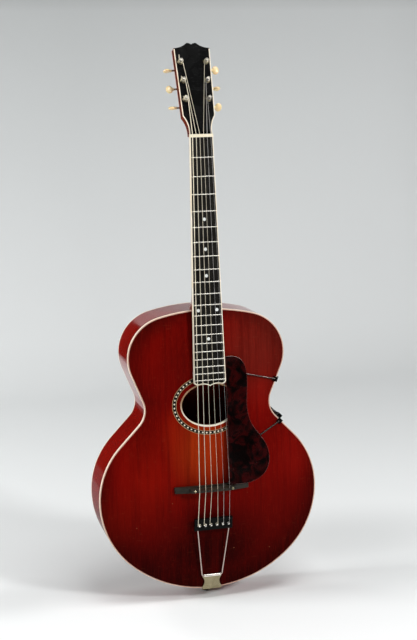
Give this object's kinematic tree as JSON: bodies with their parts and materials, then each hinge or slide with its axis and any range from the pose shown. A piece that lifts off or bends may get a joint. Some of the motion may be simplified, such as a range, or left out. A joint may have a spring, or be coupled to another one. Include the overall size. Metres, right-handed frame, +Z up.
{
  "type": "archtop guitar",
  "caption": "Archtop guitar with carved arched plates, oval sound hole, floating bridge, trapeze tailpiece, clamped finger rest and open worm-gear tuning machines.",
  "frame": {"origin": "centre of the end pin's knob, under the middle of the bottom rim", "axes": "+X to the treble side, +Y to the back, +Z up the body and neck"},
  "size_m": [0.408, 0.1432, 1.0119],
  "materials": {
    "red_top": "gloss dark cherry varnish",
    "red_wood": "gloss red-brown varnish",
    "bare_wood": "bare spruce and mahogany",
    "cream_celluloid": "aged cream celluloid",
    "black_celluloid": "black polished",
    "ebony": "dark oiled ebony",
    "pearl": "pearl dots",
    "bone": "bone",
    "fret_metal": "nickel silver",
    "bronze_wound": "bronze-wound string",
    "plain_steel": "plain steel string",
    "aged_nickel": "aged nickel plate",
    "tortoise": "dark tortoise celluloid",
    "gear_brass": "brass gear on a plated post",
    "ivoroid": "ivoroid"
  },
  "bodies": {
    "guitar": {"top_plate": "red_top", "back_plate": "red_wood", "side_bass": "red_wood", "side_treble": "red_wood", "neck": "red_wood", "neck_block": "bare_wood", "end_block": "bare_wood", "linings": "bare_wood", "top_braces": "bare_wood", "top_binding": "cream_celluloid", "back_binding": "cream_celluloid", "soundhole_binding": "cream_celluloid", "rosette_lines": "cream_celluloid", "headstock_binding": "cream_celluloid", "fingerboard_binding": "cream_celluloid", "rosette_band": "black_celluloid", "headstock_veneer": "black_celluloid", "tailpiece_bar": "black_celluloid", "end_pin": "black_celluloid", "fingerboard": "ebony", "bridge_base": "ebony", "bridge_saddle": "ebony", "position_dots": "pearl", "nut": "bone", "frets": "fret_metal", "wound_strings": "bronze_wound", "plain_strings": "plain_steel", "bridge_studs": "aged_nickel", "tailpiece_pins": "aged_nickel", "tailpiece_wire": "aged_nickel", "tailpiece_bracket": "aged_nickel", "small_screws": "aged_nickel", "tuner_bushings": "aged_nickel", "tuner_plate_bass": "aged_nickel", "tuner_plate_treble": "aged_nickel", "upper_clamp_bracket": "aged_nickel", "lower_clamp_bracket": "aged_nickel", "finger_rest": "tortoise"},
    "key_bass_1": {"worm_bass_1": "aged_nickel", "button_bass_1": "ivoroid"},
    "post_bass_1": {"post_bass_1": "gear_brass"},
    "key_bass_2": {"worm_bass_2": "aged_nickel", "button_bass_2": "ivoroid"},
    "post_bass_2": {"post_bass_2": "gear_brass"},
    "key_bass_3": {"worm_bass_3": "aged_nickel", "button_bass_3": "ivoroid"},
    "post_bass_3": {"post_bass_3": "gear_brass"},
    "key_treble_1": {"worm_treble_1": "aged_nickel", "button_treble_1": "ivoroid"},
    "post_treble_1": {"post_treble_1": "gear_brass"},
    "key_treble_2": {"worm_treble_2": "aged_nickel", "button_treble_2": "ivoroid"},
    "post_treble_2": {"post_treble_2": "gear_brass"},
    "key_treble_3": {"worm_treble_3": "aged_nickel", "button_treble_3": "ivoroid"},
    "post_treble_3": {"post_treble_3": "gear_brass"},
    "upper_clamp_barrel": {"upper_clamp_barrel": "aged_nickel"},
    "upper_clamp_hook": {"upper_clamp_hook": "aged_nickel"},
    "lower_clamp_barrel": {"lower_clamp_barrel": "aged_nickel"},
    "lower_clamp_hook": {"lower_clamp_hook": "aged_nickel"}
  },
  "joints": [
    {"name": "key_bass_1", "type": "hinge", "parent": "guitar", "child": "key_bass_1", "pos_m": [-0.02539, 0.00284, 0.89368], "axis": [-0.9995, -0.0116, -0.0311], "continuous": true},
    {"name": "post_bass_1", "type": "hinge", "parent": "guitar", "child": "post_bass_1", "pos_m": [-0.02104, -0.00862, 0.90664], "axis": [0, 0.9373, -0.3486], "continuous": true},
    {"name": "key_bass_2", "type": "hinge", "parent": "guitar", "child": "key_bass_2", "pos_m": [-0.02655, 0.01503, 0.92647], "axis": [-0.9995, -0.0116, -0.0311], "continuous": true},
    {"name": "post_bass_2", "type": "hinge", "parent": "guitar", "child": "post_bass_2", "pos_m": [-0.0222, 0.00357, 0.93943], "axis": [0, 0.9373, -0.3486], "continuous": true},
    {"name": "key_bass_3", "type": "hinge", "parent": "guitar", "child": "key_bass_3", "pos_m": [-0.02771, 0.02722, 0.95926], "axis": [-0.9995, -0.0116, -0.0311], "continuous": true},
    {"name": "post_bass_3", "type": "hinge", "parent": "guitar", "child": "post_bass_3", "pos_m": [-0.02336, 0.01576, 0.97221], "axis": [0, 0.9373, -0.3486], "continuous": true},
    {"name": "key_treble_1", "type": "hinge", "parent": "guitar", "child": "key_treble_1", "pos_m": [0.02539, 0.00284, 0.89368], "axis": [0.9995, -0.0116, -0.0311], "continuous": true},
    {"name": "post_treble_1", "type": "hinge", "parent": "guitar", "child": "post_treble_1", "pos_m": [0.02104, -0.00862, 0.90664], "axis": [0, 0.9373, -0.3486], "continuous": true},
    {"name": "key_treble_2", "type": "hinge", "parent": "guitar", "child": "key_treble_2", "pos_m": [0.02655, 0.01503, 0.92647], "axis": [0.9995, -0.0116, -0.0311], "continuous": true},
    {"name": "post_treble_2", "type": "hinge", "parent": "guitar", "child": "post_treble_2", "pos_m": [0.0222, 0.00357, 0.93943], "axis": [0, 0.9373, -0.3486], "continuous": true},
    {"name": "key_treble_3", "type": "hinge", "parent": "guitar", "child": "key_treble_3", "pos_m": [0.02771, 0.02722, 0.95926], "axis": [0.9995, -0.0116, -0.0311], "continuous": true},
    {"name": "post_treble_3", "type": "hinge", "parent": "guitar", "child": "post_treble_3", "pos_m": [0.02336, 0.01576, 0.97221], "axis": [0, 0.9373, -0.3486], "continuous": true},
    {"name": "upper_clamp_barrel", "type": "hinge", "parent": "guitar", "child": "upper_clamp_barrel", "pos_m": [0.13441, 0, 0.39859], "axis": [0, 1, 0], "range_deg": [0, 720]},
    {"name": "upper_clamp_hook", "type": "slide", "parent": "guitar", "child": "upper_clamp_hook", "axis": [0, 1, 0], "range_m": [0, 0.0014]},
    {"name": "lower_clamp_barrel", "type": "hinge", "parent": "guitar", "child": "lower_clamp_barrel", "pos_m": [0.14053, 0, 0.3275], "axis": [0, 1, 0], "range_deg": [0, 720]},
    {"name": "lower_clamp_hook", "type": "slide", "parent": "guitar", "child": "lower_clamp_hook", "axis": [0, 1, 0], "range_m": [0, 0.0014]}
  ],
  "couplings": [
    {"joint": "post_bass_1", "follows": "key_bass_1", "ratio": -0.071429},
    {"joint": "post_bass_2", "follows": "key_bass_2", "ratio": -0.071429},
    {"joint": "post_bass_3", "follows": "key_bass_3", "ratio": -0.071429},
    {"joint": "post_treble_1", "follows": "key_treble_1", "ratio": 0.071429},
    {"joint": "post_treble_2", "follows": "key_treble_2", "ratio": 0.071429},
    {"joint": "post_treble_3", "follows": "key_treble_3", "ratio": 0.071429},
    {"joint": "upper_clamp_barrel", "follows": "upper_clamp_hook", "rad_per_m": 8976},
    {"joint": "lower_clamp_barrel", "follows": "lower_clamp_hook", "rad_per_m": 8976}
  ]
}
